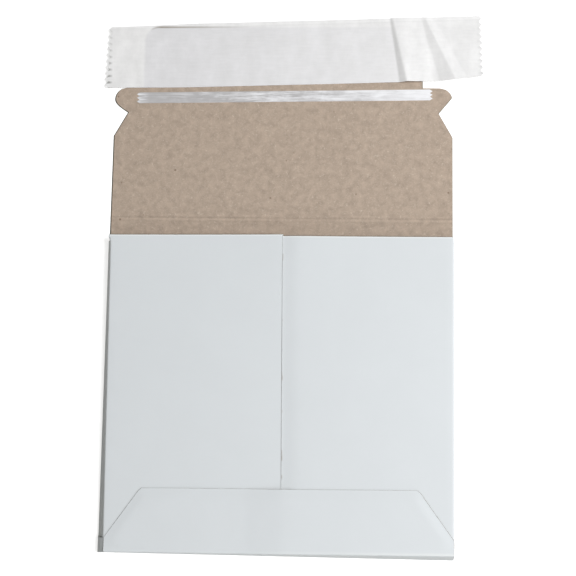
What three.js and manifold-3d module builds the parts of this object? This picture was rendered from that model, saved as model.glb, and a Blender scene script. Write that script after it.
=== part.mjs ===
// Rigid photo mailer: one sheet of white kraft-backed paperboard, folded and glued into a flat pocket.
// Units are millimetres and degrees, with +Z up. The mailer lies on its address face, seam side up, and its
// closing flap is opened out along +Y. The origin is the middle of the address face.

import * as THREE from 'three';
import { mergeVertices } from 'three/addons/utils/BufferGeometryUtils.js';
import Module from 'manifold-3d';

// Board
const boardThickness = 0.6;
const foldRadius = 0.3;
const foldSteps = 5;

// Front panel, the address face
const panelWidth = 152.4;
const panelDepth = 146.5;
const creaseGap = 0.3;

// Back panels, lapped at the centre seam
const pocketHeight = 5.8;
const lapWidth = 12.5;
const lapGlueSink = 0.05;
const lapMouthStop = 1;
const leftEdgeInset = 1.9;
const leftEdgeTurn = 0.8;
const rightEdgeInset = 0.45;
const rightEdgeTurn = 0.1;
const seamOffset = 1.2;
const seamTurn = 0.69;

// Mouth of the pocket, below the crease
const leftMouthDrop = 8.35;
const leftMouthTurn = 0.57;
const rightMouthDrop = 8.3;
const rightMouthTurn = 0.2;

// Side folds, which stop short of the mouth and of the bottom fold
const sideFoldMouthStop = 2.4;
const sideFoldBottomStop = 7.3;
const sideFoldLip = 0.1;

// Bottom fold and the glued bottom flap
const bottomEdgeInset = 1.85;
const bottomEdgeTurn = 0.63;
const bottomFlapLeft = 72.05;
const bottomFlapRight = 75.3;
const bottomFlapHeight = 27;
const bottomFlapStraight = 6.2;
const bottomFlapTaper = 15;
const bottomFlapCorner = 1;
const bottomFlapRideWidth = 12;
const bottomFlapRideStart = -12;

// Closing flap, measured from the crease
const shoulderHeight = 37.5;
const notchHeight = 48.4;
const notchInset = 6.1;
const earRadius = 5.4;
const earHeight = 60;
const leftEarFoot = 77;
const rightEarFoot = 32;
const tabWidth = 126;
const tabHeight = 88.6;
const tabCorner = 6.4;

// Adhesive strip
const adhesiveLength = 133.3;
const adhesiveWidth = 5;
const adhesiveThickness = 0.15;
const adhesiveHeight = 56;
const adhesiveOffset = 0.6;
const adhesiveTurn = 0.8;
const adhesiveToothPitch = 1.7;
const adhesiveToothDepth = 1.2;

// Release liner, peeled off and laid over the tab
const linerLength = 170;
const linerWidth = 29.9;
const linerThickness = 0.2;
const linerSeat = 0.1;
const linerHeight = 76.3;
const linerOffset = 4.6;
const linerTurn = 1.6;
const linerToothPitch = 3;
const linerToothDepth = 2;
const linerColumns = 44;
const linerLeftCornerDrop = 2.2;
const linerLeftCornerReach = 45;
const linerRightCornerRise = 1.4;
const linerRightCornerReach = 22;

// Folds left in the liner: where each crosses the middle line, its slant, height and half width
const linerFolds = [
  { at: 46.5, slant: 10, height: 0.7, reach: 2.2 },
  { at: 69, slant: 28, height: 1.9, reach: 9 },
];

const wasm = await Module();
wasm.setup();

const weldDistance = 1e-5;
const rad = THREE.MathUtils.degToRad;
const crease = panelDepth / 2;
const bottom = -panelDepth / 2;
const cutTop = pocketHeight + 4 * boardThickness;

// A closed three.js geometry as a solid that can be joined and cut
function solid(geometry) {
  const bare = geometry.clone();
  bare.deleteAttribute('normal');
  bare.deleteAttribute('uv');
  const merged = mergeVertices(bare, weldDistance);
  return new wasm.Manifold(new wasm.Mesh({
    numProp: 3,
    vertProperties: new Float32Array(merged.attributes.position.array),
    triVerts: new Uint32Array(merged.index.array),
  }));
}

// A solid back as a three.js geometry
function geometryOf(manifold) {
  const mesh = manifold.getMesh();
  const geometry = new THREE.BufferGeometry();
  geometry.setAttribute('position', new THREE.BufferAttribute(new Float32Array(mesh.vertProperties), 3));
  geometry.setIndex(new THREE.BufferAttribute(new Uint32Array(mesh.triVerts), 1));
  geometry.computeVertexNormals();
  return geometry;
}

// Volume inside an indexed geometry, negative where its faces point inward
function signedVolume(points, triangles) {
  const cross = new THREE.Vector3();
  let sum = 0;
  for (let i = 0; i < triangles.length; i += 3) {
    const [a, b, c] = [points[triangles[i]], points[triangles[i + 1]], points[triangles[i + 2]]];
    sum += a.dot(cross.crossVectors(b, c)) / 6;
  }
  return sum;
}

// A sheet of material between two grids of points, rows by columns, closed around its edges
function sheet(outer, inner) {
  const rows = outer.length;
  const columns = outer[0].length;
  const points = [...outer.flat(), ...inner.flat()];
  const over = (row, column) => row * columns + column;
  const under = (row, column) => rows * columns + over(row, column);
  const triangles = [];
  const quad = (a, b, c, d) => triangles.push(a, b, c, a, c, d);
  for (let row = 0; row < rows - 1; row++) {
    for (let column = 0; column < columns - 1; column++) {
      quad(over(row, column), over(row, column + 1), over(row + 1, column + 1), over(row + 1, column));
      quad(under(row, column), under(row + 1, column), under(row + 1, column + 1), under(row, column + 1));
    }
    quad(over(row, 0), over(row + 1, 0), under(row + 1, 0), under(row, 0));
    const end = columns - 1;
    quad(over(row, end), under(row, end), under(row + 1, end), over(row + 1, end));
  }
  for (let column = 0; column < columns - 1; column++) {
    quad(over(0, column), under(0, column), under(0, column + 1), over(0, column + 1));
    const end = rows - 1;
    quad(over(end, column), over(end, column + 1), under(end, column + 1), under(end, column));
  }
  if (signedVolume(points, triangles) < 0) triangles.reverse();
  const geometry = new THREE.BufferGeometry();
  geometry.setFromPoints(points);
  geometry.setIndex(triangles);
  return geometry;
}

// A folded section: the path through its corners on the outer face, with a round fold at each inner corner.
// Each point carries the outward direction, which lies on the left or right of the path by side.
function foldedPath(corners, side) {
  const outward = (from, to) => {
    const along = to.clone().sub(from).normalize();
    return new THREE.Vector2(side * along.y, -side * along.x);
  };
  const radius = foldRadius + boardThickness;
  const path = [{ at: corners[0], out: outward(corners[0], corners[1]) }];
  for (let i = 1; i < corners.length - 1; i++) {
    const before = outward(corners[i - 1], corners[i]);
    const after = outward(corners[i], corners[i + 1]);
    const middle = before.clone().add(after).normalize();
    const centre = corners[i].clone().addScaledVector(middle, -radius / middle.dot(before));
    const turn = Math.atan2(before.cross(after), before.dot(after));
    for (let step = 0; step <= foldSteps; step++) {
      const out = before.clone().rotateAround(new THREE.Vector2(), (turn * step) / foldSteps);
      path.push({ at: centre.clone().addScaledVector(out, radius), out });
    }
  }
  const last = corners.length - 1;
  path.push({ at: corners[last], out: outward(corners[last - 1], corners[last]) });
  return path;
}

// A folded board whose section changes along its length; place turns section and station into a point
function foldedBoard(stations, sectionAt, side, place) {
  const outer = [];
  const inner = [];
  for (const station of stations) {
    const path = foldedPath(sectionAt(station), side);
    outer.push(path.map(({ at }) => place(at, station)));
    inner.push(path.map(({ at, out }) => place(at.clone().addScaledVector(out, -boardThickness), station)));
  }
  return solid(sheet(outer, inner));
}

// An upright block over an outline
function block(outline, low, high) {
  const geometry = new THREE.ExtrudeGeometry(outline, { depth: high - low, bevelEnabled: false });
  geometry.translate(0, 0, low);
  return solid(geometry);
}

function outlineOf(...points) {
  return new THREE.Shape(points.map(([x, y]) => new THREE.Vector2(x, y)));
}

// Edges of the back panels at a distance y along the pocket
const slope = (degrees) => Math.tan(rad(degrees));
const leftMouth = crease - leftMouthDrop;
const rightMouth = crease - rightMouthDrop;
const leftEdge = (y) => -panelWidth / 2 + leftEdgeInset + (leftMouth - y) * slope(leftEdgeTurn);
const rightEdge = (y) => panelWidth / 2 - rightEdgeInset - (rightMouth - y) * slope(rightEdgeTurn);
const seamEdge = (y) => seamOffset + (rightMouth - y) * slope(seamTurn);
const leftMouthAt = (x) => leftMouth + (x - leftEdge(leftMouth)) * slope(leftMouthTurn);
const rightMouthAt = (x) => rightMouth + (x - seamEdge(rightMouth)) * slope(rightMouthTurn);
const seamTop = pocketHeight + boardThickness;

// What is cut from the left panel under the lap, so that it stays behind the right panel's mouth edge
function lapCut() {
  const seam = seamEdge(rightMouth);
  const low = (x) => rightMouthAt(x) - lapMouthStop;
  return block(
    outlineOf([seam, low(seam)], [panelWidth, low(panelWidth)], [panelWidth, panelDepth], [seam, panelDepth]),
    boardThickness,
    cutTop,
  );
}

// One half of the wrap: its back panel, its side fold and its share of the front panel
function wrapHalf(side) {
  const onLeft = side < 0;
  const edge = onLeft ? leftEdge : rightEdge;
  const mouthAt = onLeft ? leftMouthAt : rightMouthAt;
  const sectionAt = (y) => [
    new THREE.Vector2(onLeft ? seamEdge(y) + lapWidth : seamEdge(y), onLeft ? pocketHeight : seamTop),
    new THREE.Vector2(edge(y), pocketHeight),
    new THREE.Vector2((side * panelWidth) / 2, 0),
    new THREE.Vector2(0, 0),
  ];
  const ends = [bottom + foldRadius + boardThickness, crease - creaseGap / 2];
  const wrap = foldedBoard(ends, sectionAt, -side, (at, y) => new THREE.Vector3(at.x, y, at.y));
  const far = side * panelWidth;
  const lip = edge(crease) - side * sideFoldLip;
  const foldStop = mouthAt(edge(crease)) - sideFoldMouthStop;
  const cuts = [
    block(outlineOf(
      [-side * panelWidth, mouthAt(-side * panelWidth)],
      [far, mouthAt(far)],
      [far, panelDepth],
      [-side * panelWidth, panelDepth],
    ), boardThickness, cutTop),
    block(outlineOf([lip, foldStop], [far, foldStop], [far, panelDepth], [lip, panelDepth]), boardThickness, cutTop),
    block(outlineOf(
      [-panelWidth, -panelDepth],
      [panelWidth, -panelDepth],
      [panelWidth, bottom + sideFoldBottomStop],
      [-panelWidth, bottom + sideFoldBottomStop],
    ), boardThickness, cutTop),
  ];
  if (onLeft) cuts.push(lapCut());
  return cuts.reduce((left, cut) => left.subtract(cut), wrap);
}

// Outline of the bottom flap seen from above, running past the bottom fold
function bottomFlapOutline() {
  const turn = slope(bottomEdgeTurn);
  const fold = (x) => bottom + bottomEdgeInset + x * turn;
  const corner = (x, height) => new THREE.Vector2(x - height * turn, fold(x) + height);
  const points = [
    new THREE.Vector2(bottomFlapRight, bottom - boardThickness),
    corner(bottomFlapRight, bottomFlapStraight),
    corner(bottomFlapRight - bottomFlapTaper, bottomFlapHeight),
    corner(-bottomFlapLeft + bottomFlapTaper, bottomFlapHeight),
    corner(-bottomFlapLeft, bottomFlapStraight),
    new THREE.Vector2(-bottomFlapLeft, bottom - boardThickness),
  ];
  const outline = new THREE.Shape();
  outline.moveTo(points[0].x, points[0].y);
  outline.lineTo(points[1].x, points[1].y);
  for (const i of [2, 3]) {
    const before = points[i].clone().lerp(points[i - 1], bottomFlapCorner / points[i].distanceTo(points[i - 1]));
    const after = points[i].clone().lerp(points[i + 1], bottomFlapCorner / points[i].distanceTo(points[i + 1]));
    outline.lineTo(before.x, before.y);
    outline.quadraticCurveTo(points[i].x, points[i].y, after.x, after.y);
  }
  outline.lineTo(points[4].x, points[4].y);
  outline.lineTo(points[5].x, points[5].y);
  return outline;
}

// The bottom fold and the flap glued over both back panels, riding up over the lap
function bottomWrap() {
  const ride = (x) => {
    const lap = seamEdge(bottom);
    if (x <= lap) return boardThickness * THREE.MathUtils.clamp((x - bottomFlapRideStart) / bottomFlapRideWidth, 0, 1);
    return boardThickness * THREE.MathUtils.clamp((rightEdge(bottom) - x) / (rightEdge(bottom) - lap), 0, 1);
  };
  const sectionAt = (x) => {
    const height = pocketHeight + boardThickness + ride(x) - lapGlueSink;
    const fold = bottom + bottomEdgeInset + x * slope(bottomEdgeTurn);
    return [
      new THREE.Vector2(fold + 2 * bottomFlapHeight, height),
      new THREE.Vector2(fold, height),
      new THREE.Vector2(bottom, 0),
      new THREE.Vector2(bottom + 2 * (foldRadius + boardThickness), 0),
    ];
  };
  const stations = [-panelWidth / 2, bottomFlapRideStart, seamEdge(bottom), panelWidth / 2];
  const wrap = foldedBoard(stations, sectionAt, 1, (at, x) => new THREE.Vector3(x, at.x, at.y));
  return wrap.intersect(block(bottomFlapOutline(), -boardThickness, 2 * cutTop));
}

// Outline of the closing flap in its own frame, with the crease along x at y = 0
function closingFlapOutline() {
  const half = panelWidth / 2;
  const notch = half - notchInset;
  const earCentre = new THREE.Vector2(half - earRadius, earHeight - earRadius);
  const tabHalf = tabWidth / 2;
  const outline = new THREE.Shape();
  outline.moveTo(-half, creaseGap / 2);
  outline.lineTo(half, creaseGap / 2);
  outline.lineTo(half, shoulderHeight);
  outline.lineTo(notch, notchHeight);
  outline.absarc(earCentre.x, earCentre.y, earRadius, -rad(rightEarFoot), Math.PI / 2, false);
  outline.lineTo(tabHalf, earHeight);
  outline.lineTo(tabHalf, tabHeight - tabCorner);
  outline.absarc(tabHalf - tabCorner, tabHeight - tabCorner, tabCorner, 0, Math.PI / 2, false);
  outline.lineTo(-tabHalf + tabCorner, tabHeight);
  outline.absarc(-tabHalf + tabCorner, tabHeight - tabCorner, tabCorner, Math.PI / 2, Math.PI, false);
  outline.lineTo(-tabHalf, earHeight);
  outline.absarc(-earCentre.x, earCentre.y, earRadius, Math.PI / 2, Math.PI + rad(leftEarFoot), false);
  outline.lineTo(-notch, notchHeight);
  outline.lineTo(-half, shoulderHeight);
  return outline;
}

// A strip with toothed ends, lying along x
function toothedOutline(length, width, pitch, depth) {
  const teeth = Math.max(2, Math.round(width / pitch));
  const points = [];
  for (const side of [1, -1]) {
    for (let i = 0; i <= 2 * teeth; i++) {
      const inset = i % 2 ? 0 : depth;
      points.push([side * (length / 2 - inset), side * (-width / 2 + (width * i) / (2 * teeth))]);
    }
  }
  return outlineOf(...points);
}

// The liner as a thin sheet, with toothed ends, bowed long edges and the folds left in it
function linerGeometry() {
  const teeth = Math.round(linerWidth / linerToothPitch);
  const half = linerLength / 2;
  const near = (x, end, reach) => THREE.MathUtils.smoothstep(reach - Math.abs(end - x), 0, reach);
  const lift = (x, y) => linerFolds.reduce((sum, { at, slant, height, reach }) => {
    const away = Math.abs(x - at + y * slope(slant)) / reach;
    return sum + height * (1 - THREE.MathUtils.smoothstep(away, 0, 1));
  }, 0);
  const grids = [linerThickness, 0].map((thickness) => {
    const rows = [];
    for (let row = 0; row <= 2 * teeth; row++) {
      const across = row / (2 * teeth);
      const end = half - (row % 2 ? 0 : linerToothDepth);
      const points = [];
      for (let column = 0; column <= linerColumns; column++) {
        const x = -end + (2 * end * column) / linerColumns;
        const high = linerWidth / 2 - linerLeftCornerDrop * near(x, -half, linerLeftCornerReach);
        const low = -linerWidth / 2 + linerRightCornerRise * near(x, half, linerRightCornerReach);
        const y = THREE.MathUtils.lerp(low, high, across);
        points.push(new THREE.Vector3(x, y, lift(x, y) + thickness));
      }
      rows.push(points);
    }
    return rows;
  });
  return sheet(...grids);
}

function board(colour) {
  return new THREE.MeshStandardMaterial({ color: colour, roughness: 0.85, metalness: 0 });
}

function namedMesh(name, geometry, material) {
  const mesh = new THREE.Mesh(geometry, material);
  mesh.name = name;
  return mesh;
}

// Pocket: both halves of the wrap joined along the front panel and the lap, and the bottom flap over them
const pocketSolid = wrapHalf(-1).add(wrapHalf(1)).add(bottomWrap());
const pocket = namedMesh('pocket', geometryOf(pocketSolid), board(0xd7dbdf));

// Closing flap and what it carries
const flap = new THREE.Group();
flap.position.set(0, crease, 0);

const flapBoard = new THREE.ExtrudeGeometry(closingFlapOutline(), {
  depth: boardThickness,
  bevelEnabled: false,
  curveSegments: 10,
});
flap.add(namedMesh('closing_flap', flapBoard, board(0xb1a191)));

const adhesiveStrip = namedMesh(
  'adhesive_strip',
  new THREE.ExtrudeGeometry(
    toothedOutline(adhesiveLength, adhesiveWidth, adhesiveToothPitch, adhesiveToothDepth),
    { depth: adhesiveThickness, bevelEnabled: false },
  ),
  new THREE.MeshStandardMaterial({ color: 0xd9d9dc, roughness: 0.25, metalness: 0 }),
);
adhesiveStrip.position.set(adhesiveOffset, adhesiveHeight, boardThickness);
adhesiveStrip.rotation.z = rad(adhesiveTurn);
flap.add(adhesiveStrip);

const releaseLiner = namedMesh(
  'release_liner',
  linerGeometry(),
  new THREE.MeshStandardMaterial({ color: 0xe4e4e2, roughness: 0.5, metalness: 0 }),
);
releaseLiner.position.set(linerOffset, linerHeight, boardThickness + linerSeat);
releaseLiner.rotation.z = rad(linerTurn);
flap.add(releaseLiner);

const group = new THREE.Group();
group.add(pocket, flap);

export default group;
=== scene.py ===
"""A rigid photo mailer, seam side up with its closing flap opened out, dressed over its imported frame."""

import logging
import math
from dataclasses import dataclass, field
from enum import Enum
from typing import Callable, Sequence, Union

import bpy
import numpy as np
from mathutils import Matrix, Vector


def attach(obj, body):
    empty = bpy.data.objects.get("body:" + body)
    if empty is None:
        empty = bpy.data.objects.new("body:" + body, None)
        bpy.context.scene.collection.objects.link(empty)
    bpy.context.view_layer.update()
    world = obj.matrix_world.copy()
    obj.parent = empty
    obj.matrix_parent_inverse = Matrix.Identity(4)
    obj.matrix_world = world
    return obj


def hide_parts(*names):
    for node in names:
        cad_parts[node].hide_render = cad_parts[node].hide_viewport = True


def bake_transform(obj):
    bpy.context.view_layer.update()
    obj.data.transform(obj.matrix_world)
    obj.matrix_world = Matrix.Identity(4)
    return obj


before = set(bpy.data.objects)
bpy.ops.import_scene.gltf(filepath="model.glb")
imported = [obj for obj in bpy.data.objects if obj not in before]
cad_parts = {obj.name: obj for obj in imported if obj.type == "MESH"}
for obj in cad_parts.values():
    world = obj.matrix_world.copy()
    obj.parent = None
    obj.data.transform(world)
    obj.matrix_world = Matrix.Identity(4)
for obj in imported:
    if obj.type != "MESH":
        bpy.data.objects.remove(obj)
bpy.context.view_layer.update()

LOG = logging.getLogger("photo_mailer")

MM = 0.001
POCKET_BODY = "pocket_body"
FLAP_BODY = "flap_body"
FOLD_STEPS = 8
FLAT_GAP = 300.0
WHITE = (1.0, 1.0, 1.0, 1.0)

Number = Union[int, float]
Pair = tuple[float, float]
Triple = tuple[float, float, float]
Quad = tuple[float, float, float, float]


class Face(Enum):
    """Which side of the board a face belongs to; the value is its material index."""

    COATED = 0
    KRAFT = 1
    CUT = 2


class Side(Enum):
    """The left or right half of the wrap, seen from above."""

    LEFT = -1
    RIGHT = 1


def srgb(red: int, green: int, blue: int) -> Quad:
    """Turns a screen colour into a linear one.

    Args:
        red: Red, 0 to 255.
        green: Green, 0 to 255.
        blue: Blue, 0 to 255.

    Returns:
        The linear colour with an alpha of 1.
    """
    def linear(value: int) -> float:
        """One channel as linear light."""
        share = value / 255
        return share / 12.92 if share <= 0.04045 else ((share + 0.055) / 1.055) ** 2.4

    return (linear(red), linear(green), linear(blue), 1.0)


def combined(operation: str, swapped: bool = False) -> Callable[["Field", "Term"], "Field"]:
    """Makes an operator that adds a Math node on a field and another term.

    Args:
        operation: The Math node's operation.
        swapped: True where the other term comes first.

    Returns:
        The operator.
    """
    def operator(first: "Field", second: "Term") -> "Field":
        """The two terms through one Math node."""
        return first.canvas.math(operation, *((second, first) if swapped else (first, second)))

    return operator


class Field:
    """A node socket that takes part in Python arithmetic; each operation adds a Math node."""

    __add__, __radd__ = combined("ADD"), combined("ADD", swapped=True)
    __sub__, __rsub__ = combined("SUBTRACT"), combined("SUBTRACT", swapped=True)
    __mul__, __rmul__ = combined("MULTIPLY"), combined("MULTIPLY", swapped=True)
    __truediv__, __rtruediv__ = combined("DIVIDE"), combined("DIVIDE", swapped=True)
    __pow__ = combined("POWER")
    at_least, at_most = combined("MAXIMUM"), combined("MINIMUM")

    def __init__(self, canvas: "Canvas", socket: bpy.types.NodeSocket) -> None:
        """Keeps the socket and the canvas that its next nodes go on."""
        self.canvas = canvas
        self.socket = socket

    def __abs__(self) -> "Field":
        """The value without its sign."""
        return self.canvas.math("ABSOLUTE", self)


Term = Union[Field, Number]


class Canvas:
    """A node tree, shader or geometry, that nodes are added to by short calls."""

    def __init__(self, tree: bpy.types.NodeTree) -> None:
        """Keeps the tree."""
        self.tree = tree

    def node(self, kind: str, settings: dict | None = None, sockets: dict | None = None,
             out: Union[int, str] = 0) -> Field:
        """Adds a node, sets it up and gives back one of its outputs.

        Args:
            kind: The node's type.
            settings: Properties of the node, set before its sockets.
            sockets: Values or links of its inputs, by name or index.
            out: The output that is wanted, by name or index.

        Returns:
            The output as a field.
        """
        made = self.tree.nodes.new(kind)
        for key, value in (settings or {}).items():
            setattr(made, key, value)
        for key, value in (sockets or {}).items():
            self.feed(made.inputs[key], value)
        return Field(self, made.outputs[out])

    def feed(self, socket: bpy.types.NodeSocket, value: object) -> None:
        """Links a field to a socket, or sets the socket's own value.

        Args:
            socket: The input.
            value: A field, or the value that the socket gets.
        """
        if isinstance(value, Field):
            self.tree.links.new(value.socket, socket)
        else:
            socket.default_value = value

    def math(self, operation: str, *terms: Term) -> Field:
        """Adds a Math node on the terms."""
        return self.node("ShaderNodeMath", {"operation": operation}, dict(enumerate(terms)))

    def ramp(self, value: Term, low: Number, high: Number, to_low: Term = 0.0, to_high: Term = 1.0,
             smooth: bool = False) -> Field:
        """Maps a value from one range to another and holds it at the ends.

        Args:
            value: What is mapped.
            low: Where the range starts.
            high: Where the range ends.
            to_low: The result at the start.
            to_high: The result at the end.
            smooth: True for a smooth step in place of a straight one.

        Returns:
            The mapped value.
        """
        kind = "SMOOTHSTEP" if smooth else "LINEAR"
        return self.node("ShaderNodeMapRange", {"interpolation_type": kind, "clamp": True},
                         {0: value, 1: low, 2: high, 3: to_low, 4: to_high})

    def mix(self, factor: Term, first: object, second: object, blend: str = "MIX") -> Field:
        """Mixes two colours."""
        return self.node("ShaderNodeMix", {"data_type": "RGBA", "blend_type": blend, "clamp_factor": True},
                         {0: factor, 6: first, 7: second}, out=2)

    def shade(self, colour: object, amount: Term) -> Field:
        """Brightens or darkens a colour by a varying amount about 1.

        Args:
            colour: The colour, as a field or as numbers.
            amount: What it is multiplied by.

        Returns:
            The new colour.
        """
        grey = self.node("ShaderNodeCombineXYZ", None, {0: amount, 1: amount, 2: amount})
        plain = colour if isinstance(colour, Field) else colour[:3]
        return self.node("ShaderNodeVectorMath", {"operation": "MULTIPLY"}, {0: plain, 1: grey})

    def noise(self, place: Field, scale: float, detail: float = 2.0, rough: float = 0.5,
              warp: float = 0.0) -> Field:
        """Smooth noise about 0.5 at a scale in cycles for each metre."""
        return self.node("ShaderNodeTexNoise", {"noise_dimensions": "3D"},
                         {"Vector": place, "Scale": scale, "Detail": detail, "Roughness": rough,
                          "Distortion": warp})

    def stretched(self, place: Field, factors: Triple,
                  turn: float = 0.0, shift: Triple = (0.0, 0.0, 0.0)) -> Field:
        """A place turned about Z and stretched, for a pattern with a direction."""
        sockets = {"Vector": place, "Location": shift, "Rotation": (0.0, 0.0, turn), "Scale": factors}
        return self.node("ShaderNodeMapping", None, sockets)

    def band(self, value: Field, middle: Number, reach: Number, strength: Number = 1.0,
             smooth: bool = False) -> Field:
        """A value that is strongest at a middle and fades to nothing within a reach on both sides.

        Args:
            value: Where a point is.
            middle: Where the band is strongest.
            reach: How far it reaches to each side.
            strength: Its value at the middle.
            smooth: True for a smooth fade in place of a straight one.

        Returns:
            The band.
        """
        return self.ramp(abs(value - middle), 0.0, reach, strength, 0.0, smooth)

    def split(self, place: Field) -> tuple[Field, Field]:
        """The X and Y parts of a place."""
        outputs = self.node("ShaderNodeSeparateXYZ", None, {0: place}).socket.node.outputs
        return Field(self, outputs[0]), Field(self, outputs[1])

    def attribute(self, name: str, out: str) -> Field:
        """A mesh attribute, as a vector or a number."""
        return self.node("ShaderNodeAttribute", {"attribute_name": name}, out=out)

    def object_place(self) -> Field:
        """The place on Object coordinates, which are the mailer's own."""
        return self.node("ShaderNodeTexCoord", out="Object")

    def repeat(self, value: Field, pitch: Term) -> Field:
        """A value that goes from 0 to 1 and back once in each pitch."""
        return self.math("PINGPONG", value, pitch * 0.5) / (pitch * 0.5)


def new_material(name: str) -> tuple[bpy.types.Material, Canvas, bpy.types.Node]:
    """Starts a node material.

    Args:
        name: The material's name.

    Returns:
        The material, its canvas and its Principled node.
    """
    material = bpy.data.materials.new(name)
    material.use_nodes = True
    canvas = Canvas(material.node_tree)
    principled = material.node_tree.nodes["Principled BSDF"]
    return material, canvas, principled


def dress(canvas: Canvas, shader: bpy.types.Node, colour: Field, roughness: Field, specular: float,
          relief: tuple[Field, float, float] | None = None) -> None:
    """Joins the fields of a finish to its Principled node.

    Args:
        canvas: The material's canvas.
        shader: The Principled node.
        colour: The base colour.
        roughness: The roughness.
        specular: The specular level, the same all over.
        relief: The bump's height, its distance in metres and its strength.
    """
    canvas.feed(shader.inputs["Base Color"], colour)
    canvas.feed(shader.inputs["Roughness"], roughness)
    shader.inputs["Specular IOR Level"].default_value = specular
    if relief:
        height, distance, strength = relief
        bump = canvas.node("ShaderNodeBump", None,
                           {"Height": height, "Distance": distance, "Strength": strength})
        canvas.feed(shader.inputs["Normal"], bump)


def linked(name: str, data: bpy.types.ID) -> bpy.types.Object:
    """Puts an object with this data into the scene, at the origin.

    Args:
        name: The object's name.
        data: Its mesh, light or camera.

    Returns:
        The object.
    """
    made = bpy.data.objects.new(name, data)
    bpy.context.scene.collection.objects.link(made)
    return made


@dataclass(frozen=True)
class CoatedBoardFinish:
    """Clay-coated white face: cool, nearly matte, with faint smudges and dark scuffs along the lap, a painted
    highlight along the mouth and the bottom fold, and a painted shade line where the left side wall ends.
    """

    colour: Quad = srgb(224, 228, 231)
    highlight_colour: Quad = srgb(246, 248, 247)
    scuff: Quad = srgb(150, 134, 116)
    scuff_scale: float = 120.0
    scuff_range: Pair = (0.58, 0.66)
    scuff_share: float = 0.6
    lap_edge: float = 300.2 * MM
    lap_reach: float = 0.5 * MM
    corner_fold: Pair = (-389.0 * MM, -66.15 * MM)
    corner_fold_reach: float = 0.45 * MM
    corner_shade: Quad = srgb(92, 94, 84)
    corner_share: float = 0.75
    smudge_scale: float = 55.0
    smudge: float = 0.022
    tooth_scale: float = 2600.0
    tooth: float = 0.014
    brushing_scale: float = 420.0
    brushing: float = 0.02
    roughness: float = 0.52
    uneven: float = 0.16
    specular: float = 0.35
    bump: float = 0.02 * MM

    def make(self) -> bpy.types.Material:
        """Builds the material on the board's own flat coordinates.

        Returns:
            The material.
        """
        material, canvas, shader = new_material("coated_board")
        place = canvas.attribute("flat", "Vector")
        smudges = canvas.noise(place, self.smudge_scale, 4.0, 0.6, 0.4)
        tooth = canvas.noise(place, self.tooth_scale, 3.0, 0.7)
        fine = canvas.noise(canvas.stretched(place, (1.0, 3.0, 1.0)), self.brushing_scale, 4.0, 0.65)
        tone = 1.0 + (smudges - 0.5) * self.smudge * 2 + (tooth - 0.5) * self.tooth * 2
        colour = canvas.shade(self.colour, tone + (fine - 0.5) * self.brushing)
        # Painted highlight: the coated face turns paler where the painted_highlight attribute is set, along
        # the mouth edges and the bottom fold.
        colour = canvas.mix(canvas.attribute("painted_highlight", "Fac"), colour, self.highlight_colour)
        across, along = canvas.split(place)
        # Painted shade: a dark line where the left side wall ends above the bottom corner, for the shade in
        # the crevice there.
        wall, fold = self.corner_fold
        at_fold = canvas.band(along, fold, self.corner_fold_reach)
        on_wall = canvas.ramp(across, wall, wall + self.lap_reach, 1.0, 0.0)
        colour = canvas.mix(at_fold * on_wall * self.corner_share, colour, self.corner_shade)
        at_lap = canvas.band(across, self.lap_edge, self.lap_reach)
        spots = canvas.ramp(canvas.noise(place, self.scuff_scale, 2.0), *self.scuff_range)
        colour = canvas.mix(at_lap * spots * self.scuff_share, colour, self.scuff)
        dress(canvas, shader, colour, self.roughness + (fine - 0.5) * self.uneven, self.specular,
              (fine * 0.6 + tooth * 0.4, self.bump, 0.6))
        return material


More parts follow.
